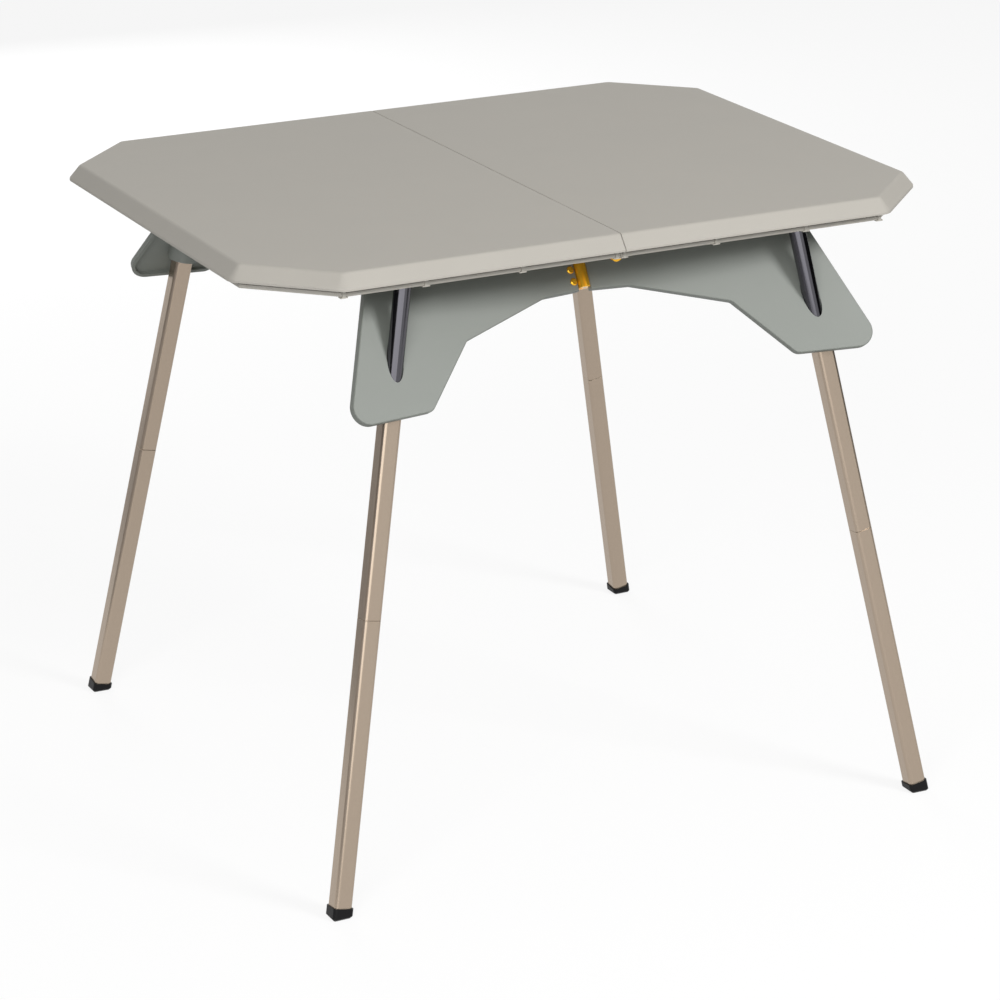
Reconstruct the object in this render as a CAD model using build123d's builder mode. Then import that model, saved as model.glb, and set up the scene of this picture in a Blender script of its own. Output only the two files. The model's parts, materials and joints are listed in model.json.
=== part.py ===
import os
from math import atan, cos, radians, sin, sqrt

from build123d import *

os.makedirs("parts", exist_ok=True)

# Folding camping table, set up at full height, in millimetres.
# The origin is on the floor under the middle of the top. X runs along the long
# sides, the front long side faces minus Y, and Z is up.

# Table top
table_height = 674.5
top_length = 780.0
top_width = 610.0
corner_cut = 79.0
bevel_out = 12.0
bevel_drop = 14.5
edge_drop = 2.5
edge_round = 2.0
corner_round = 7.0
panel_wall = 3.0
top_edge_round = 5.0
seam_edge_round = 1.0
seam_gap = 0.6

# Under frame: wall, shallow groove, lip below it, tabs that cross the groove and hook the lip, ribs
rim_drop = 25.5
frame_wall = 3.0
frame_inset = 2.2
lip_thickness = 4.0
lip_inset = 12.0
groove_depth = 2.0
tab_length = 3.5
tab_stand = 1.2
hook_length = 8.0
hook_depth = 6.0
hook_stand = 1.2
front_tab_pitch = 108.3
front_tab_count = 3
rib_thickness = 2.5
rib_drop = 9.0
rib_pitch_x = 62.0
rib_pitch_y = 98.0

# Legs: where the axis meets the top level and the floor
leg_top_x = 224.2
leg_top_inset = 38.9
foot_x = 351.6
foot_overhang = 44.1
tube_side = 20.2
tube_round = 4.2
tube_wall = 1.2
joint_height = 306.1
joint_gap = 0.2
tube_top_drop = 134.0
bar_radius = 9.0
bar_tail_radius = 7.0
bar_end_chamfer = 1.5
bar_top_drop = 8.0
bush_length = 50.0
spigot_grip = 60.0
spigot_reach = 46.0
spigot_wall = 2.0
slide_clearance = 0.15
seat_clearance = 0.05

# Feet
foot_wall = 1.3
foot_height = 10.5
foot_floor = 5.5
foot_plug = 24.0
foot_chamfer = 2.2

# Leg sockets under the top
socket_wall = 4.7
socket_pad_radius = 20.0
socket_pad_drop = 10.0
socket_drop = 20.0
bar_clearance = 0.3

# Braces: hinge line, slant and outline, measured along and down the plate
brace_axis_inset = 119.0
brace_axis_drop = 18.0
brace_skew = 8.6
brace_lean = 29.7
brace_skin = 4.0
brace_depth = 8.0
brace_flange = 4.0
brace_edge_round = 1.5
brace_top = 8.0
brace_top_reach = 256.0
brace_foot_out = 329.5
brace_foot_in = 229.5
brace_foot = 165.0
brace_knee_out = 165.8
brace_knee = 101.8
brace_shoulder_out = 56.5
brace_arch = 74.0
brace_centre_gap = 7.1
foot_out_round = 18.0
foot_in_round = 12.0
knee_round = 6.0
shoulder_round = 8.0
brace_top_round = 6.0
brace_rib = 3.0
brace_rib_places = (45.0, 100.0, 155.0, 205.0)

# Leg boss on the inside of each brace arm
boss_wall = 7.6
boss_top_drop = 98.0
boss_mouth_drop = 140.0
slot_clearance = 0.4
seat_gap = 0.35

# Brace hinges to the under frame
knuckle_radius = 4.0
knuckle_length = 24.0
lug_length = 8.0
hinge_gap = 0.4
pin_radius = 2.0
pin_clearance = 0.05
brace_hinge_places = (72.0, 228.0)
rail_margin = 12.0

# Centre hinge of each brace
barrel_radius = 6.6
barrel_pin_radius = 2.2
barrel_top = 16.0
barrel_split = 36.0
barrel_bottom = 72.0
barrel_gap = 0.4
barrel_chamfer = 0.5
leaf_thickness = 2.0
leaf_reach = 24.0
leaf_margin = 3.0
rivet_place = 17.0
rivet_drop = 3.0
rivet_spacing = 13.0
rivet_head_radius = 4.0
rivet_head_height = 1.8
rivet_head_chamfer = 1.0
rivet_radius = 1.9

# Seam hinges, with the axis a little below the rim so that the braces have room in the folded top
seam_hinge_inset = 21.0
seam_hinge_length = 26.0
seam_axis_drop = 25.6
seam_barrel_radius = 6.5
seam_pin_radius = 2.5
seam_middle_length = 9.0
seam_leaf_reach = 22.0
seam_leaf_thickness = 2.0
seam_block_reach = 26.0
seam_block_margin = 3.0
screw_radius = 1.75
screw_head_radius = 3.4
screw_head_height = 1.6
screw_head_chamfer = 0.8
screw_length = 9.0
screw_place = 15.0
screw_spacing = 15.0

# Worked out from the sizes above
panel_drop = bevel_drop + edge_drop
bevel_angle = atan(bevel_out / bevel_drop)
socket_radius = bar_radius + bar_clearance + socket_wall
boss_radius = bar_radius + slot_clearance + boss_wall
brace_axis_y = top_width / 2 - brace_axis_inset
seam_hinge_y = top_width / 2 - seam_hinge_inset
foot_point = Vector(foot_x, -(top_width / 2 + foot_overhang), 0)
leg_top_point = Vector(leg_top_x, -(top_width / 2 - leg_top_inset), table_height)
leg_up = (leg_top_point - foot_point).normalized()

corners = {
    "front_right": (False, False),
    "front_left": (True, False),
    "rear_right": (False, True),
    "rear_left": (True, True),
}


def half_outline(grow, seam_x):
    """Corner points of the right half of the eight-sided top, grown outwards."""
    half_x = top_length / 2 + grow
    half_y = top_width / 2 + grow
    cut = corner_cut + grow * (2 - sqrt(2))
    return [
        (seam_x, -half_y),
        (half_x - cut, -half_y),
        (half_x, -half_y + cut),
        (half_x, half_y - cut),
        (half_x - cut, half_y),
        (seam_x, half_y),
    ]


def panel_outline(grow, seam_x):
    """Outline of the right half with its outer corners rounded, in the sketch being drawn."""
    Polygon(*half_outline(grow, seam_x), align=None)
    outer_corners = [corner for corner in vertices() if corner.X > seam_x + corner_cut]
    fillet(outer_corners, corner_round + grow)


def leg_plane(height):
    """Plane across the front right leg's axis where the axis is at a height."""
    origin = foot_point + leg_up * (height / leg_up.Z)
    return Plane(origin=origin, x_dir=Vector(1, 0, -leg_up.X / leg_up.Z), z_dir=leg_up)


def under_top(drop):
    """Plane across the leg's axis at a drop below the top."""
    return leg_plane(table_height - drop)


def leg_run(low, high):
    """Distance along the leg's axis between two heights."""
    return (high - low) / leg_up.Z


def square_section(side, edge_round):
    """Square section of a leg with rounded corners and sides along the table's edges."""
    RectangleRounded(side, side, edge_round)


def square_bore(side, edge_round):
    """Square hole of a leg in the sketch being drawn."""
    with BuildSketch() as bore:
        square_section(side, edge_round)
    add(bore.sketch, mode=Mode.SUBTRACT)


def hinge_direction():
    """Direction of the front right brace's hinge line, away from the seam."""
    return Vector(cos(radians(brace_skew)), -sin(radians(brace_skew)), 0)


def brace_point(along):
    """Point on the front right brace's hinge line."""
    start = Vector(0, -brace_axis_y, table_height - brace_axis_drop)
    return start + hinge_direction() * along


def brace_plane(depth=0.0):
    """Plane of the front right brace plate, moved out from its hinge line."""
    along = hinge_direction()
    level = along.cross(Vector(0, 0, 1))
    out = level * cos(radians(brace_lean)) + Vector(0, 0, 1) * sin(radians(brace_lean))
    return Plane(origin=brace_point(0) + out * depth, x_dir=along, z_dir=out)


def hinge_plane(along):
    """Upright plane across the brace's hinge line."""
    direction = hinge_direction()
    return Plane(
        origin=brace_point(along),
        x_dir=Vector(0, 0, 1).cross(direction),
        z_dir=direction,
    )


def swung_plane(along):
    """Plane across the brace's hinge line, turned with the plate."""
    plate = brace_plane()
    return Plane(origin=brace_point(along), x_dir=plate.z_dir * -1, z_dir=plate.x_dir)


def barrel_plane(down):
    """Plane across the centre hinge's barrel, which lies where the outer faces meet."""
    face = brace_plane(knuckle_radius)
    across = Vector(1, 0, 0)
    line = across.cross(face.z_dir).normalized()
    if line.Z > 0:
        line = line * -1
    start = face.origin - face.x_dir * (face.origin.X / face.x_dir.X)
    return Plane(origin=start + line * down, x_dir=across, z_dir=line)


def centre_edge(down):
    """Place along the plate, at a depth down it, of the brace's edge beside the barrel."""
    line = barrel_plane(0).z_dir
    face = brace_plane()
    lean = line.dot(face.x_dir) / -line.dot(face.y_dir)
    return brace_centre_gap / cos(radians(brace_skew)) + lean * down


def brace_outline():
    """Outline of the right half of the front brace, with its arm and half arch."""
    Polygon(
        (centre_edge(brace_top), -brace_top),
        (brace_top_reach, -brace_top),
        (brace_foot_out, -brace_foot),
        (brace_foot_in, -brace_foot),
        (brace_knee_out, -brace_knee),
        (brace_shoulder_out, -brace_arch),
        (centre_edge(brace_arch), -brace_arch),
        align=None,
    )
    rounds = {
        (brace_top_reach, brace_top): brace_top_round,
        (brace_foot_out, brace_foot): foot_out_round,
        (brace_foot_in, brace_foot): foot_in_round,
        (brace_knee_out, brace_knee): knee_round,
        (brace_shoulder_out, brace_arch): shoulder_round,
    }
    for (along, down), size in rounds.items():
        fillet(vertices().sort_by_distance(Vector(along, -down, 0))[0], size)


def rivet_places(top, bottom):
    """The two rivets of a leaf, on the plate."""
    middle = -(top + bottom) / 2 - rivet_drop
    return [(rivet_place, middle + side * rivet_spacing / 2) for side in (-1, 1)]


def make_brace(leaf_top, leaf_bottom):
    """Right half of the front brace, with the notch and rivet holes for its leaf."""
    with BuildPart() as plate:
        with BuildSketch(brace_plane(knuckle_radius)):
            brace_outline()
        extrude(amount=-brace_depth)
        outer = plate.faces().sort_by(Axis(brace_point(0), brace_plane().z_dir))[-1]
        fillet(outer.edges(), brace_edge_round)
        with BuildSketch(brace_plane(knuckle_radius - brace_depth)):
            brace_outline()
            offset(amount=-brace_flange, kind=Kind.INTERSECTION, mode=Mode.REPLACE)
            for place in brace_rib_places:
                with Locations((place, -brace_foot / 2)):
                    Rectangle(brace_rib, brace_foot, mode=Mode.SUBTRACT)
        extrude(amount=brace_depth - brace_skin, mode=Mode.SUBTRACT)
        add(leg_boss())
        with BuildSketch(under_top(tube_top_drop)):
            Circle(bar_radius + slot_clearance)
        extrude(amount=leg_run(0, tube_top_drop - bar_top_drop), mode=Mode.SUBTRACT)
        with BuildSketch(under_top(tube_top_drop)):
            square_section(tube_side + 2 * seat_gap, tube_round)
        extrude(amount=-leg_run(0, tube_top_drop), mode=Mode.SUBTRACT)
        for place in brace_hinge_places:
            with BuildSketch(swung_plane(place - knuckle_length / 2)):
                Circle(knuckle_radius)
                with Locations((0, -(brace_top + brace_flange) / 2)):
                    Rectangle(2 * knuckle_radius, brace_top + brace_flange)
                Circle(pin_radius + pin_clearance, mode=Mode.SUBTRACT)
            extrude(amount=knuckle_length)
        with BuildSketch(brace_plane(knuckle_radius - brace_depth)):
            with Locations((leaf_reach / 2, -(leaf_top + leaf_bottom) / 2)):
                Rectangle(leaf_reach + leaf_margin, leaf_bottom - leaf_top + leaf_margin)
        extrude(amount=brace_depth - brace_skin, mode=Mode.SUBTRACT)
        with BuildSketch(brace_plane(knuckle_radius)):
            with Locations(*rivet_places(leaf_top, leaf_bottom)):
                Circle(rivet_radius + pin_clearance)
        extrude(amount=-brace_skin, mode=Mode.SUBTRACT)
    return plate.part


def leg_boss():
    """Boss that guides the leg's bar through a brace arm and seats its tube."""
    with BuildPart() as boss:
        with BuildSketch(under_top(boss_mouth_drop)):
            Circle(boss_radius)
        extrude(amount=leg_run(0, boss_mouth_drop - boss_top_drop))
        split(bisect_by=brace_plane(knuckle_radius - brace_skin / 2), keep=Keep.BOTTOM)
    return boss.part


def make_centre_leaf(top, bottom):
    """Right leaf of the front brace's centre hinge, with its part of the barrel."""
    with BuildPart() as leaf:
        with BuildSketch(barrel_plane(top)):
            Circle(barrel_radius)
        extrude(amount=bottom - top)
        chamfer(leaf.edges().filter_by(GeomType.CIRCLE), barrel_chamfer)
        with BuildSketch(brace_plane(knuckle_radius - brace_skin)):
            with Locations((leaf_reach / 2, -(top + bottom) / 2)):
                Rectangle(leaf_reach, bottom - top)
            with Locations(*rivet_places(top, bottom)):
                Circle(rivet_radius + pin_clearance, mode=Mode.SUBTRACT)
        extrude(amount=-leaf_thickness)
        with BuildSketch(barrel_plane(top)):
            Circle(barrel_pin_radius + pin_clearance)
        extrude(amount=bottom - top, mode=Mode.SUBTRACT)
    return leaf.part


def make_rivets(top, bottom):
    """The two round-headed rivets of the front brace's right leaf."""
    with BuildPart() as rivets:
        with BuildSketch(brace_plane(knuckle_radius - brace_skin - leaf_thickness)):
            with Locations(*rivet_places(top, bottom)):
                Circle(rivet_radius)
        extrude(amount=brace_skin + leaf_thickness)
        with BuildSketch(brace_plane(knuckle_radius)):
            with Locations(*rivet_places(top, bottom)):
                Circle(rivet_head_radius)
        extrude(amount=rivet_head_height)
        out = Axis(brace_point(0), brace_plane().z_dir)
        heads = rivets.edges().filter_by(GeomType.CIRCLE).group_by(SortBy.RADIUS)[-1]
        chamfer(heads.group_by(out)[-1], rivet_head_chamfer)
    return rivets.part


def export_corner(name, corner, piece):
    """Write a front right piece, mirrored to its own corner."""
    to_left, to_rear = corners[corner]
    with BuildPart() as corner_piece:
        add(piece)
        if to_left:
            mirror(about=Plane.YZ, mode=Mode.REPLACE)
        if to_rear:
            mirror(about=Plane.XZ, mode=Mode.REPLACE)
    corner_piece.part.label = f"{corner}_{name}"
    export_step(corner_piece.part, f"parts/{corner}_{name}.step")


def export_half(name, piece):
    """Write a right half piece and its mirror image on the left."""
    for side in ("right", "left"):
        with BuildPart() as half_piece:
            add(piece)
            if side == "left":
                mirror(about=Plane.YZ, mode=Mode.REPLACE)
        half_piece.part.label = f"{side}_{name}"
        export_step(half_piece.part, f"parts/{side}_{name}.step")


# Top panel: flat skin with a bevelled rim, hollow below, with a wall at the seam
slant_wall = panel_wall / cos(bevel_angle)
skin_grow = bevel_out * panel_wall / bevel_drop - slant_wall
with BuildPart() as top_panel:
    with BuildSketch(Plane.XY.offset(table_height)):
        panel_outline(0, seam_gap / 2)
    with BuildSketch(Plane.XY.offset(table_height - bevel_drop)):
        panel_outline(bevel_out, seam_gap / 2)
    loft(ruled=True)
    with BuildSketch(Plane.XY.offset(table_height - bevel_drop)):
        panel_outline(bevel_out, seam_gap / 2)
    extrude(amount=-edge_drop)
    rim_level = table_height - bevel_drop
    rim_edges = top_panel.edges().filter_by_position(Axis.Z, rim_level - 0.01, rim_level + 0.01)
    fillet(rim_edges.filter_by(lambda edge: edge.center().X > seam_gap), edge_round)
    top_edges = top_panel.faces().sort_by(Axis.Z)[-1].edges().sort_by(Axis.X)
    fillet(top_edges[1:], top_edge_round)
    fillet(top_panel.faces().sort_by(Axis.Z)[-1].edges().sort_by(Axis.X)[0], seam_edge_round)
    with BuildSketch(Plane.XY.offset(table_height - panel_wall)):
        panel_outline(skin_grow, seam_gap / 2 + panel_wall)
    with BuildSketch(Plane.XY.offset(table_height - bevel_drop)):
        panel_outline(bevel_out - slant_wall, seam_gap / 2 + panel_wall)
    loft(ruled=True, mode=Mode.SUBTRACT)
    with BuildSketch(Plane.XY.offset(table_height - bevel_drop)):
        panel_outline(bevel_out - slant_wall, seam_gap / 2 + panel_wall)
    extrude(amount=-edge_drop, mode=Mode.SUBTRACT)
export_half("top_panel", top_panel.part)


# Under frame: wall and lip, tabs, ribs, leg sockets, hinge lugs and seam blocks
frame_seam = seam_gap / 2 + panel_wall + seat_gap
inner_grow = -frame_inset - frame_wall - slant_wall + bevel_out * panel_wall / bevel_drop
outer_grow = inner_grow + frame_wall
lip_grow = bevel_out - lip_inset
front_run = top_length / 2 - corner_cut
lug_offset = knuckle_length / 2 + hinge_gap
block_length = seam_hinge_length + 2 * seam_block_margin
seam_axis_z = table_height - seam_axis_drop
seam_leaf_z = table_height - rim_drop


def frame_fittings():
    """Leg socket and brace hinge lugs of the right half's front part."""
    pad = under_top(socket_drop).origin
    with BuildPart() as fittings:
        with BuildSketch(Plane.XY.offset(table_height - panel_wall)):
            with Locations((pad.X, pad.Y)):
                Circle(socket_pad_radius)
        extrude(amount=panel_wall - socket_pad_drop)
        with BuildSketch(under_top(socket_drop)):
            Circle(socket_radius)
        extrude(amount=leg_run(0, socket_drop - (socket_pad_drop + panel_wall) / 2))
        with BuildSketch(under_top(bar_top_drop - bar_clearance)):
            Circle(bar_radius + bar_clearance)
        extrude(amount=-leg_run(0, rim_drop + socket_radius), mode=Mode.SUBTRACT)
        rail_middle = (brace_hinge_places[0] + brace_hinge_places[-1]) / 2
        rail_end = lug_offset + lug_length + rail_margin
        rail_length = brace_hinge_places[-1] - brace_hinge_places[0] + 2 * rail_end
        rail_origin = brace_point(rail_middle) + Vector(0, 0, brace_axis_drop - panel_wall)
        with BuildSketch(Plane(origin=rail_origin, x_dir=hinge_direction(), z_dir=(0, 0, 1))):
            Rectangle(rail_length, 2 * knuckle_radius)
        extrude(amount=panel_wall - rib_drop)
        for place in brace_hinge_places:
            for start in (place - lug_offset - lug_length, place + lug_offset):
                with BuildSketch(hinge_plane(start)):
                    Circle(knuckle_radius)
                    with Locations((0, (brace_axis_drop - panel_wall) / 2)):
                        Rectangle(2 * knuckle_radius, brace_axis_drop - panel_wall)
                    Circle(pin_radius + pin_clearance, mode=Mode.SUBTRACT)
                extrude(amount=lug_length)
    return fittings.part


def tab_places(outer):
    """Place of each tab along the right half's long sides, at a growth of the top's outline."""
    first = (hook_length + seam_gap) / 2
    front_places = [first + step * front_tab_pitch for step in range(front_tab_count)]
    for side in (-1, 1):
        for along in front_places + [front_run]:
            yield along, side * (top_width / 2 + outer)


with BuildPart() as under_frame:
    with BuildSketch(Plane.XY.offset(table_height - panel_wall)):
        Polygon(*half_outline(outer_grow, frame_seam), align=None)
        Polygon(*half_outline(inner_grow, frame_seam + frame_wall), align=None, mode=Mode.SUBTRACT)
    extrude(amount=panel_wall - rim_drop)
    with BuildSketch(Plane.XY.offset(table_height - rim_drop)):
        Polygon(*half_outline(lip_grow, seam_gap / 2), align=None)
        Polygon(*half_outline(inner_grow, frame_seam + frame_wall), align=None, mode=Mode.SUBTRACT)
    extrude(amount=lip_thickness)
    with BuildSketch(Plane.XY.offset(table_height - rim_drop + lip_thickness)):
        Polygon(*half_outline(lip_grow - groove_depth, seam_gap / 2), align=None)
        Polygon(*half_outline(inner_grow, frame_seam + frame_wall), align=None, mode=Mode.SUBTRACT)
    extrude(amount=rim_drop - lip_thickness - panel_drop)
    with BuildSketch(Plane.XY.offset(table_height - rim_drop)):
        for place in tab_places(lip_grow + (tab_stand - groove_depth) / 2):
            with Locations(place):
                Rectangle(tab_length, tab_stand + groove_depth)
    extrude(amount=rim_drop - panel_drop)
    with BuildSketch(Plane.XY.offset(table_height - rim_drop)):
        for place in tab_places(lip_grow + tab_stand - hook_depth / 2):
            with Locations(place):
                Rectangle(hook_length, hook_depth)
    extrude(amount=-hook_stand)
    with BuildSketch(Plane.XY.offset(table_height - panel_wall)):
        for step in range(1, int(top_length / 2 / rib_pitch_x) + 1):
            with Locations((step * rib_pitch_x, 0)):
                Rectangle(rib_thickness, top_width)
        for step in range(-int(top_width / 2 / rib_pitch_y), int(top_width / 2 / rib_pitch_y) + 1):
            with Locations((top_length / 4, step * rib_pitch_y)):
                Rectangle(top_length / 2, rib_thickness)
        Polygon(*half_outline(outer_grow, frame_seam), align=None, mode=Mode.INTERSECT)
    extrude(amount=panel_wall - rib_drop)
    add(frame_fittings())
    add(frame_fittings().mirror(Plane.XZ))
    for side in (-1, 1):
        with BuildSketch(Plane.XY.offset(table_height - rim_drop)):
            with Locations((frame_seam + seam_block_reach / 2, side * seam_hinge_y)):
                Rectangle(seam_block_reach, block_length)
        extrude(amount=rim_drop - panel_wall)
        with BuildSketch(Plane.XY.offset(table_height - rim_drop)):
            with Locations((seam_leaf_reach / 2, side * seam_hinge_y)):
                Rectangle(seam_leaf_reach + 2 * seat_gap, seam_hinge_length + 2 * seat_gap)
        extrude(amount=seam_leaf_thickness, mode=Mode.SUBTRACT)
        with Locations((0, side * seam_hinge_y, seam_axis_z)):
            Cylinder(
                seam_barrel_radius + seat_gap,
                seam_hinge_length + 2 * seat_gap,
                rotation=(90, 0, 0),
                mode=Mode.SUBTRACT,
            )
        with BuildSketch(Plane.XY.offset(seam_leaf_z)):
            with Locations((screw_place, side * seam_hinge_y)):
                with GridLocations(1, screw_spacing, 1, 2):
                    Circle(screw_radius + pin_clearance)
        extrude(amount=screw_length, mode=Mode.SUBTRACT)
export_half("under_frame", under_frame.part)


# Seam hinges: the right leaf has the middle knuckle, the left leaf the two outer ones
outer_length = (seam_hinge_length - seam_middle_length) / 2 - hinge_gap


def seam_knuckle(middle_y, length):
    """One knuckle of a seam hinge."""
    with Locations((0, middle_y, seam_axis_z)):
        Cylinder(seam_barrel_radius, length, rotation=(90, 0, 0))


def seam_leaf(side):
    """Flat plate of a seam hinge's leaf, let into the under frame."""
    middle_z = seam_leaf_z + seam_leaf_thickness / 2
    with Locations((side * seam_leaf_reach / 2, -seam_hinge_y, middle_z)):
        Box(seam_leaf_reach, seam_hinge_length, seam_leaf_thickness)
    for step in (-1, 1):
        with Locations((side * screw_place, -seam_hinge_y + step * screw_spacing / 2, middle_z)):
            Cylinder(screw_radius + pin_clearance, seam_leaf_thickness, mode=Mode.SUBTRACT)


def seam_room(middle_y, length):
    """Room in a leaf for a knuckle of the other leaf."""
    with Locations((0, middle_y, seam_axis_z)):
        Cylinder(
            seam_barrel_radius + hinge_gap,
            length + 2 * hinge_gap,
            rotation=(90, 0, 0),
            mode=Mode.SUBTRACT,
        )


def seam_bore():
    """Hole for the hinge pin."""
    with Locations((0, -seam_hinge_y, seam_axis_z)):
        Cylinder(
            seam_pin_radius + pin_clearance,
            seam_hinge_length + 1,
            rotation=(90, 0, 0),
            mode=Mode.SUBTRACT,
        )


outer_middles = [
    -seam_hinge_y + side * (seam_hinge_length - outer_length) / 2 for side in (-1, 1)
]

with BuildPart() as seam_right_leaf:
    seam_leaf(1)
    for middle_y in outer_middles:
        seam_room(middle_y, outer_length)
    seam_knuckle(-seam_hinge_y, seam_middle_length)
    seam_bore()

with BuildPart() as seam_left_leaf:
    seam_leaf(-1)
    seam_room(-seam_hinge_y, seam_middle_length)
    for middle_y in outer_middles:
        seam_knuckle(middle_y, outer_length)
    seam_bore()

for place in ("front", "rear"):
    for side, leaf in (("right", seam_right_leaf), ("left", seam_left_leaf)):
        with BuildPart() as hinge_leaf:
            add(leaf.part)
            if place == "rear":
                mirror(about=Plane.XZ, mode=Mode.REPLACE)
        hinge_leaf.part.label = f"{place}_seam_hinge_{side}_leaf"
        export_step(hinge_leaf.part, f"parts/{place}_seam_hinge_{side}_leaf.step")

with BuildPart() as seam_hinge_pins:
    for side in (-1, 1):
        with Locations((0, side * seam_hinge_y, seam_axis_z)):
            Cylinder(seam_pin_radius, seam_hinge_length, rotation=(90, 0, 0))
seam_hinge_pins.part.label = "seam_hinge_pins"
export_step(seam_hinge_pins.part, "parts/seam_hinge_pins.step")

with BuildPart() as seam_hinge_screws:
    with BuildSketch(Plane.XY.offset(seam_leaf_z)):
        with GridLocations(2 * screw_place, 2 * seam_hinge_y, 2, 2):
            with GridLocations(1, screw_spacing, 1, 2):
                Circle(screw_radius)
    extrude(amount=screw_length - seat_gap)
    with BuildSketch(Plane.XY.offset(seam_leaf_z)):
        with GridLocations(2 * screw_place, 2 * seam_hinge_y, 2, 2):
            with GridLocations(1, screw_spacing, 1, 2):
                Circle(screw_head_radius)
    extrude(amount=-screw_head_height)
    chamfer(seam_hinge_screws.edges().group_by(Axis.Z)[0], screw_head_chamfer)
seam_hinge_screws.part.label = "seam_hinge_screws"
export_step(seam_hinge_screws.part, "parts/seam_hinge_screws.step")


# Braces: each right half has the upper leaf of its centre hinge, each left half the lower
upper_leaf = (barrel_top, barrel_split - barrel_gap)
lower_leaf = (barrel_split, barrel_bottom)
right_brace = make_brace(*upper_leaf)
left_brace = make_brace(*lower_leaf)
right_leaf = make_centre_leaf(*upper_leaf)
left_leaf = make_centre_leaf(*lower_leaf)
for corner in corners:
    is_left = corners[corner][0]
    export_corner("brace", corner, left_brace if is_left else right_brace)
    export_corner("brace_hinge_leaf", corner, left_leaf if is_left else right_leaf)

with BuildPart() as brace_hinge_rivets:
    add(make_rivets(*upper_leaf))
    add(make_rivets(*lower_leaf).mirror(Plane.YZ))
    mirror(about=Plane.XZ)
brace_hinge_rivets.part.label = "brace_hinge_rivets"
export_step(brace_hinge_rivets.part, "parts/brace_hinge_rivets.step")

with BuildPart() as brace_centre_pins:
    with BuildSketch(barrel_plane(barrel_top)):
        Circle(barrel_pin_radius)
    extrude(amount=barrel_bottom - barrel_top)
    mirror(about=Plane.XZ)
brace_centre_pins.part.label = "brace_centre_pins"
export_step(brace_centre_pins.part, "parts/brace_centre_pins.step")

with BuildPart() as brace_hinge_pins:
    for place in brace_hinge_places:
        with BuildSketch(hinge_plane(place - lug_offset - lug_length)):
            Circle(pin_radius)
        extrude(amount=2 * (lug_offset + lug_length))
    mirror(about=Plane.YZ)
    mirror(about=Plane.XZ)
brace_hinge_pins.part.label = "brace_hinge_pins"
export_step(brace_hinge_pins.part, "parts/brace_hinge_pins.step")


# Legs, modelled at the front right and mirrored to the other corners
bore_side = tube_side - 2 * tube_wall
bore_round = tube_round - tube_wall
tube_top = table_height - tube_top_drop
upper_end = joint_height + joint_gap

with BuildPart() as head_bar:
    with BuildSketch(leg_plane(tube_top - bush_length)):
        Circle(bar_tail_radius)
    extrude(amount=leg_run(tube_top - bush_length, tube_top))
    with BuildSketch(leg_plane(tube_top)):
        Circle(bar_radius)
    extrude(amount=leg_run(tube_top, table_height - bar_top_drop))
    chamfer(head_bar.edges().group_by(Axis.Z)[-1], bar_end_chamfer)

with BuildPart() as head_bush:
    with BuildSketch(leg_plane(tube_top - bush_length)):
        square_section(bore_side - 2 * seat_clearance, bore_round)
        Circle(bar_tail_radius + seat_clearance, mode=Mode.SUBTRACT)
    extrude(amount=leg_run(tube_top - bush_length, tube_top))

with BuildPart() as upper_tube:
    with BuildSketch(leg_plane(upper_end)):
        square_section(tube_side, tube_round)
        square_bore(bore_side, bore_round)
    extrude(amount=leg_run(upper_end, tube_top))

with BuildPart() as lower_tube:
    with BuildSketch(leg_plane(foot_floor)):
        square_section(tube_side, tube_round)
        square_bore(bore_side, bore_round)
    extrude(amount=leg_run(foot_floor, joint_height))

with BuildPart() as leg_spigot:
    with BuildSketch(leg_plane(joint_height - spigot_grip)):
        square_section(bore_side - 2 * slide_clearance, bore_round)
        square_bore(bore_side - 2 * slide_clearance - 2 * spigot_wall, bore_round - spigot_wall / 2)
    extrude(amount=leg_run(0, spigot_grip + spigot_reach))

with BuildPart() as foot:
    with BuildSketch(leg_plane(-foot_height)):
        square_section(tube_side + 2 * foot_wall, tube_round)
    extrude(amount=leg_run(-foot_height, foot_height))
    split(bisect_by=Plane.XY, keep=Keep.TOP)
    chamfer(foot.faces().sort_by(Axis.Z)[0].edges(), foot_chamfer)
    with BuildSketch(leg_plane(foot_floor)):
        square_section(tube_side + 2 * seat_clearance, tube_round)
    extrude(amount=leg_run(0, foot_height), mode=Mode.SUBTRACT)
    with BuildSketch(leg_plane(foot_floor)):
        square_section(bore_side - 2 * seat_clearance, bore_round)
    extrude(amount=leg_run(0, foot_plug))

leg_pieces = {
    "head_bar": head_bar,
    "head_bush": head_bush,
    "upper_tube": upper_tube,
    "lower_tube": lower_tube,
    "leg_spigot": leg_spigot,
    "foot": foot,
}
for corner in corners:
    for name, piece in leg_pieces.items():
        export_corner(name, corner, piece.part)
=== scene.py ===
import json
from math import cos, radians, sin

import bmesh
import bpy
from mathutils import Matrix, Vector

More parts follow.
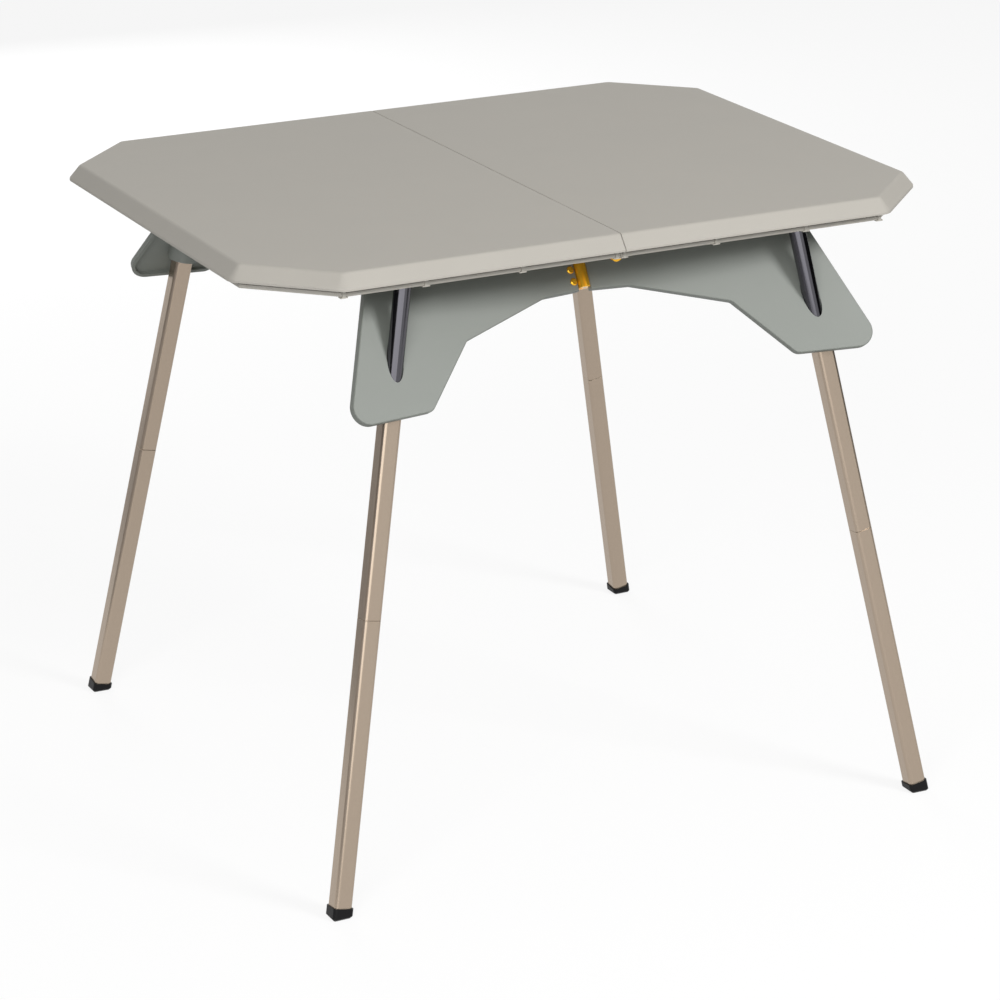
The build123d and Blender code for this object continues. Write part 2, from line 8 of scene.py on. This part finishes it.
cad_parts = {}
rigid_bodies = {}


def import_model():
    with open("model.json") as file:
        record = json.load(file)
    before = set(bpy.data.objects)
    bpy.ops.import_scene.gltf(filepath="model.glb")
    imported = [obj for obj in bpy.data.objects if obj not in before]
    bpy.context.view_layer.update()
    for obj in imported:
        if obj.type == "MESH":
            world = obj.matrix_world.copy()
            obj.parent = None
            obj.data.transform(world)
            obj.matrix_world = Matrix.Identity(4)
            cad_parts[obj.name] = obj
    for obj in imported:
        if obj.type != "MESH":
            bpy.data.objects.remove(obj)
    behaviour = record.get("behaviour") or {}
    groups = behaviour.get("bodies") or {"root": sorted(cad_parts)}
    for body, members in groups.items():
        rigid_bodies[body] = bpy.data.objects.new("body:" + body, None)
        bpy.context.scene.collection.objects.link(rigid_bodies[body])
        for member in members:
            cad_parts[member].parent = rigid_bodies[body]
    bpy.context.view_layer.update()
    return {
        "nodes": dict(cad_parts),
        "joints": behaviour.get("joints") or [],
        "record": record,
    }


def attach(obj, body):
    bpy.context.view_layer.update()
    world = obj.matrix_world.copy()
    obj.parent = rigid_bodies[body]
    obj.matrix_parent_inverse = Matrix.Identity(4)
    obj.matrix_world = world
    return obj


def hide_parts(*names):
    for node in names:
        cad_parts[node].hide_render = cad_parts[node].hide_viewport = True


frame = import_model()
nodes = frame["nodes"]
print("frame loaded:", len(nodes), "nodes")


# Shader maths: a socket that takes part in sums, and the material that holds its nodes
class Wire:
    def __init__(self, finish, socket):
        self.finish = finish
        self.socket = socket

    def math(self, operation, first, second):
        return self.finish.node("ShaderNodeMath", {"operation": operation}, {0: first, 1: second})

    def __add__(self, other):
        return self.math("ADD", self, other)

    def __radd__(self, other):
        return self.math("ADD", other, self)

    def __sub__(self, other):
        return self.math("SUBTRACT", self, other)

    def __mul__(self, other):
        return self.math("MULTIPLY", self, other)

    def __rmul__(self, other):
        return self.math("MULTIPLY", other, self)


class Finish:
    def __init__(self, name):
        self.material = bpy.data.materials.new(name)
        self.material.use_nodes = True
        self.tree = self.material.node_tree
        self.shader = self.tree.nodes["Principled BSDF"]

    # any node: its settings are set first, then the values or links of its sockets
    def node(self, kind, settings=None, sockets=None, out=0):
        made = self.tree.nodes.new(kind)
        for key, value in (settings or {}).items():
            setattr(made, key, value)
        for key, value in (sockets or {}).items():
            self.plug(made.inputs[key], value)
        return Wire(self, made.outputs[out])

    def plug(self, socket, value):
        if isinstance(value, Wire):
            self.tree.links.new(value.socket, socket)
        else:
            socket.default_value = value

    def set(self, **values):
        for key, value in values.items():
            self.plug(self.shader.inputs[key.replace("_", " ")], value)
        return self

    def place(self):
        return self.node("ShaderNodeTexCoord", out="Object")

    def noise(self, scale, detail=2.0, roughness=0.5, stretch=None):
        place = self.place()
        if stretch:
            place = self.node("ShaderNodeMapping", {}, {"Vector": place, "Scale": stretch})
        return self.node(
            "ShaderNodeTexNoise",
            {},
            {"Vector": place, "Scale": scale, "Detail": detail, "Roughness": roughness},
        )

    def blend(self, factor, low, high):
        return self.node(
            "ShaderNodeMix",
            {"data_type": "RGBA"},
            {"Factor": factor, 6: low, 7: high},
            out=2,
        )

    # a colour that varies by a share of itself, darker and lighter
    def mottled(self, factor, base, change):
        return self.blend(factor, shade(base, 1 - change), shade(base, 1 + change))

    def bump(self, height, strength, distance):
        return self.node(
            "ShaderNodeBump",
            {},
            {"Height": height, "Strength": strength, "Distance": distance},
        )


# sRGB as seen on a screen, 0 to 255, to the linear colour a shader takes
def screen(red, green, blue):
    def linear(value):
        value = value / 255
        return value / 12.92 if value <= 0.04045 else ((value + 0.055) / 1.055) ** 2.4

    return (linear(red), linear(green), linear(blue), 1.0)


def shade(colour, factor):
    return tuple(c * factor for c in colour[:3]) + (1.0,)


mouldings = {
    "panel_grey": dict(colour=(173, 169, 161), cloud=0.05, grain=0.10, roughness=0.6, shine=0.3),
    "frame_grey": dict(colour=(180, 176, 167), cloud=0.03, grain=0.08, roughness=0.5, shine=0.4),
    "brace_grey": dict(colour=(122, 126, 120), cloud=0.05, grain=0.16, roughness=0.5, shine=0.5),
}


# what all mouldings share: wide clouds that also change the gloss, and a fine grain
cloudNoise = dict(scale=9.0, detail=4.0, roughness=0.6)
grainNoise = dict(scale=1600.0, detail=1.0)
mouldRelief = dict(glossChange=0.12, noiseMean=0.5, grainDepth=0.0004)


def mouldedPlastic(name):
    look = mouldings[name]
    finish = Finish(name)
    cloud = finish.noise(**cloudNoise)
    grain = finish.noise(**grainNoise)
    gloss = mouldRelief["glossChange"] * (cloud - mouldRelief["noiseMean"])
    finish.set(
        Base_Color=finish.mottled(cloud, screen(*look["colour"]), look["cloud"]),
        Roughness=look["roughness"] + gloss,
        Specular_IOR_Level=look["shine"],
        Normal=finish.bump(grain, look["grain"], mouldRelief["grainDepth"]),
    )
    return finish.material


legLook = dict(colour=(175, 159, 142), roughness=0.26, metal=0.9, streak=0.03)
streakNoise = dict(scale=900.0, detail=1.0, stretch=(1.0, 1.0, 0.01))


def champagneAluminium(name):
    finish = Finish(name)
    streak = finish.noise(**streakNoise)
    finish.set(
        Base_Color=finish.mottled(streak, screen(*legLook["colour"]), legLook["streak"]),
        Metallic=legLook["metal"],
        Roughness=legLook["roughness"],
    )
    return finish.material


plainLooks = {
    "bar_steel": dict(colour=(92, 91, 96), roughness=0.12, metal=1.0, shine=0.5),
    "bush_black": dict(colour=(34, 34, 35), roughness=0.5, metal=0.0, shine=0.5),
    "spigot_grey": dict(colour=(190, 190, 190), roughness=0.4, metal=1.0, shine=0.5),
    "foot_rubber": dict(colour=(9, 9, 10), roughness=0.4, metal=0.0, shine=0.2),
    "gold_anodised": dict(colour=(255, 192, 48), roughness=0.2, metal=0.65, shine=0.5),
    "pin_steel": dict(colour=(185, 185, 185), roughness=0.35, metal=1.0, shine=0.5),
}


def plainFinish(name):
    look = plainLooks[name]
    finish = Finish(name)
    finish.set(
        Base_Color=screen(*look["colour"]),
        Metallic=look["metal"],
        Roughness=look["roughness"],
        Specular_IOR_Level=look["shine"],
    )
    return finish.material


finishes = {name: mouldedPlastic(name) for name in mouldings}
finishes["leg_champagne"] = champagneAluminium("leg_champagne")
for name in plainLooks:
    finishes[name] = plainFinish(name)
for subpart in frame["record"]["subparts"]:
    mesh = nodes[subpart["node"]].data
    mesh.materials.clear()
    mesh.materials.append(finishes[subpart["material_slot"]])
print("finishes:", len(finishes))


# Modelling by hand: helpers for edit mode
def startPiece():
    bpy.ops.object.select_all(action="DESELECT")


def chosenEdges(piece, wanted):
    bpy.ops.object.mode_set(mode="EDIT")
    bpy.ops.mesh.select_mode(type="EDGE")
    bpy.ops.mesh.select_all(action="DESELECT")
    mesh = bmesh.from_edit_mesh(piece.data)
    for edge in mesh.edges:
        edge.select = wanted(edge)
    bmesh.update_edit_mesh(piece.data)


def applyModifiers(piece):
    for modifier in list(piece.modifiers):
        bpy.ops.object.modifier_apply(modifier=modifier.name)


def setDown(piece, place):
    piece.data.transform(place)
    piece.matrix_world = Matrix.Identity(4)


def dress(piece, name, body, slot):
    piece.name = name
    piece.data.materials.clear()
    piece.data.materials.append(finishes[slot])
    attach(piece, body)


# Leg tubes: rounded squares with a fine chamfer at each end
tubeShape = dict(
    side=0.0202,
    edgeRound=0.0042,
    roundSteps=8,
    wall=0.0012,
    endChamfer=0.0003,
    endAngle=radians(60),
    smoothAngle=radians(35),
    flatTurn=radians(45),
)
legJoints = [joint for joint in frame["joints"] if joint["parent"] == "table"]
legAxes = {joint["child"].removesuffix("_leg"): -Vector(joint["axis"]) for joint in legJoints}


def legTurn(corner):
    up = legAxes[corner].normalized()
    across = Vector((1, 0, -up.x / up.z)).normalized()
    return Matrix((across, up.cross(across), up)).transposed().to_4x4()


def legSpan(corner, node):
    turn = legTurn(corner)
    local = [turn.inverted() @ vertex.co for vertex in nodes[node].data.vertices]
    low = Vector([min(point[i] for point in local) for i in range(3)])
    high = Vector([max(point[i] for point in local) for i in range(3)])
    return low, high


def runsAlong(edge):
    first, second = edge.verts
    return abs(first.co.z - second.co.z) > tubeShape["wall"]


# a four-sided cylinder, turned so that its flats lie along the table's edges
def legTube(corner, part, body):
    node = f"{corner}_{part}"
    low, high = legSpan(corner, node)
    startPiece()
    bpy.ops.mesh.primitive_cylinder_add(
        vertices=4,
        radius=tubeShape["side"] / 2 / cos(tubeShape["flatTurn"]),
        depth=high.z - low.z,
        end_fill_type="NOTHING",
    )
    tube = bpy.context.object
    chosenEdges(tube, runsAlong)
    bpy.ops.mesh.bevel(
        offset=tubeShape["edgeRound"],
        segments=tubeShape["roundSteps"],
        affect="EDGES",
    )
    bpy.ops.mesh.select_all(action="SELECT")
    bpy.ops.mesh.normals_make_consistent(inside=False)
    bpy.ops.object.mode_set(mode="OBJECT")
    wall = tube.modifiers.new("wall", "SOLIDIFY")
    wall.thickness = tubeShape["wall"]
    wall.offset = -1
    ends = tube.modifiers.new("ends", "BEVEL")
    ends.width = tubeShape["endChamfer"]
    ends.limit_method = "ANGLE"
    ends.angle_limit = tubeShape["endAngle"]
    applyModifiers(tube)
    bpy.ops.object.shade_smooth_by_angle(angle=tubeShape["smoothAngle"])
    tube.modifiers.new("evenFlats", "WEIGHTED_NORMAL").keep_sharp = True
    applyModifiers(tube)
    middle = Matrix.Translation((low + high) / 2)
    flats = Matrix.Rotation(tubeShape["flatTurn"], 4, "Z")
    setDown(tube, legTurn(corner) @ middle @ flats)
    dress(tube, f"{corner}_{part}_soft", body, "leg_champagne")
    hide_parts(node)


for corner in legAxes:
    legTube(corner, "upper_tube", f"{corner}_leg")
    legTube(corner, "lower_tube", f"{corner}_lower_leg")
print("leg tubes:", 2 * len(legAxes))


# Stage: pale floor, white surroundings, soft lamps
stageLook = dict(
    floor=40.0,
    paper=(252, 252, 252),
    bounce=(165, 165, 165),
    matt=0.9,
    white=0.85,
    surround=0.36,
)
pureWhite = (1, 1, 1, 1)


# the floor is white to the camera, greyer to bounced light, and keeps the shadow
def addFloor():
    startPiece()
    bpy.ops.mesh.primitive_plane_add(size=stageLook["floor"], location=(0, 0, 0))
    floor = bpy.context.object
    floor.name = "paleFloor"
    paint = Finish("paleFloor")
    seen = paint.node("ShaderNodeLightPath", out="Is Camera Ray")
    shiny = paint.node("ShaderNodeLightPath", out="Is Glossy Ray")
    tone = paint.blend(seen, screen(*stageLook["bounce"]), screen(*stageLook["paper"]))
    paint.set(Base_Color=tone, Roughness=stageLook["matt"])
    white = paint.node("ShaderNodeEmission", {}, {"Color": pureWhite, "Strength": 1.0})
    lit = Wire(paint, paint.shader.outputs[0])
    share = (seen + shiny) * stageLook["white"]
    mixed = paint.node("ShaderNodeMixShader", {}, {0: share, 1: lit, 2: white})
    paint.tree.links.new(mixed.socket, paint.tree.nodes["Material Output"].inputs["Surface"])
    floor.data.materials.append(paint.material)


# white to the camera and in reflections, dimmer as a light on the object
def addSurround():
    world = bpy.data.worlds.new("whiteSurround")
    bpy.context.scene.world = world
    world.use_nodes = True
    tree = world.node_tree
    background = tree.nodes["Background"]
    background.inputs["Color"].default_value = pureWhite
    path = tree.nodes.new("ShaderNodeLightPath")
    seen = path.outputs["Is Camera Ray"]
    for ray in ("Is Glossy Ray", "Is Transmission Ray"):
        widest = tree.nodes.new("ShaderNodeMath")
        widest.operation = "MAXIMUM"
        tree.links.new(seen, widest.inputs[0])
        tree.links.new(path.outputs[ray], widest.inputs[1])
        seen = widest.outputs[0]
    strength = tree.nodes.new("ShaderNodeMapRange")
    tree.links.new(seen, strength.inputs["Value"])
    strength.inputs["To Min"].default_value = stageLook["surround"]
    strength.inputs["To Max"].default_value = 1.0
    tree.links.new(strength.outputs[0], background.inputs["Strength"])


# Studio cards that only reflections see: a grey one at the left, a dark one at the right,
# and a bright one at the front left for the highlight along the legs' edges
cards = {
    "leftCard": dict(
        ends=[(-0.75, -1.0, 0.004), (-2.9, -1.0, 2.2), (-2.9, 1.6, 2.2), (-0.75, 1.6, 0.004)],
        lowGrey=(190, 190, 192),
        highGrey=(16, 16, 18),
        change=(0.3, 0.55),
        glow=0.0,
    ),
    "rightCard": dict(
        ends=[(2.3, -2.9, 0.02), (2.6, 2.2, 0.02), (2.6, 2.2, 1.5), (2.3, -2.9, 1.5)],
        lowGrey=(40, 40, 42),
        highGrey=(22, 22, 24),
        change=(0.0, 1.0),
        glow=0.0,
    ),
    "brightCard": dict(
        ends=[(0.2, -3.4, 0.02), (-3.0, 1.4, 0.02), (-3.0, 1.4, 1.1), (0.2, -3.4, 1.1)],
        lowGrey=(0, 0, 0),
        highGrey=(0, 0, 0),
        change=(0.0, 1.0),
        glow=2.1,
    ),
}


def addCard(name):
    look = cards[name]
    startPiece()
    bpy.ops.mesh.primitive_plane_add(size=1.0)
    card = bpy.context.object
    card.name = name
    for index, end in zip(card.data.polygons[0].vertices, look["ends"]):
        card.data.vertices[index].co = end
    paint = Finish(name)
    height = paint.node("ShaderNodeSeparateXYZ", {}, {0: paint.place()}, out="Z")
    low, high = look["change"]
    rise = paint.node(
        "ShaderNodeMapRange",
        {},
        {"Value": height, "From Min": low, "From Max": high},
    )
    greys = [screen(*look[tone]) for tone in ("lowGrey", "highGrey")]
    paint.set(Base_Color=paint.blend(rise, *greys), Roughness=1.0)
    paint.set(Emission_Color=pureWhite, Emission_Strength=look["glow"])
    card.data.materials.append(paint.material)
    card.visible_camera = False
    card.visible_diffuse = False
    card.visible_shadow = False
    card.visible_transmission = False


# soft lamps; the one behind is low and isn't seen in reflections
lampAim = Vector((0, 0, 0.45))
lamps = {
    "keyLamp": dict(place=(1.9, -3.3, 2.7), size=1.2, power=108, glossy=True),
    "fillLamp": dict(place=(-2.6, -3.1, 2.3), size=2.0, power=92, glossy=True),
    "backLamp": dict(place=(0.4, 3.6, 1.2), size=1.6, power=45, glossy=False),
}


def addLamp(name):
    lamp = lamps[name]
    light = bpy.data.lights.new(name, "AREA")
    light.size = lamp["size"]
    light.energy = lamp["power"]
    holder = bpy.data.objects.new(name, light)
    bpy.context.scene.collection.objects.link(holder)
    holder.location = lamp["place"]
    aim = lampAim - holder.location
    holder.rotation_euler = aim.to_track_quat("-Z", "Y").to_euler()
    holder.visible_glossy = lamp["glossy"]


# the camera as solved from the photo, angles in radians
shot = dict(
    place=(-1.7360, -3.5217, 1.6766),
    turn=0.4605,
    dip=0.3396,
    roll=-0.0079,
    lens=132.98,
    sensor=36.0,
    reach=50,
)


def addCamera():
    turn, dip, roll = shot["turn"], shot["dip"], shot["roll"]
    ahead = Vector((sin(turn) * cos(dip), cos(turn) * cos(dip), -sin(dip)))
    right = Vector((cos(turn), -sin(turn), 0))
    up = right.cross(ahead)
    right, up = right * cos(roll) + up * sin(roll), up * cos(roll) - right * sin(roll)
    data = bpy.data.cameras.new("photoCamera")
    data.lens = shot["lens"]
    data.sensor_width = shot["sensor"]
    data.clip_end = shot["reach"]
    camera = bpy.data.objects.new("photoCamera", data)
    bpy.context.scene.collection.objects.link(camera)
    axes = Matrix((right, up, -ahead)).transposed().to_4x4()
    camera.matrix_world = Matrix.Translation(shot["place"]) @ axes
    bpy.context.scene.camera = camera


addFloor()
for name in cards:
    addCard(name)
addSurround()
for name in lamps:
    addLamp(name)
addCamera()
bpy.context.scene.view_settings.view_transform = "Standard"
print("stage, lamps and camera are set")
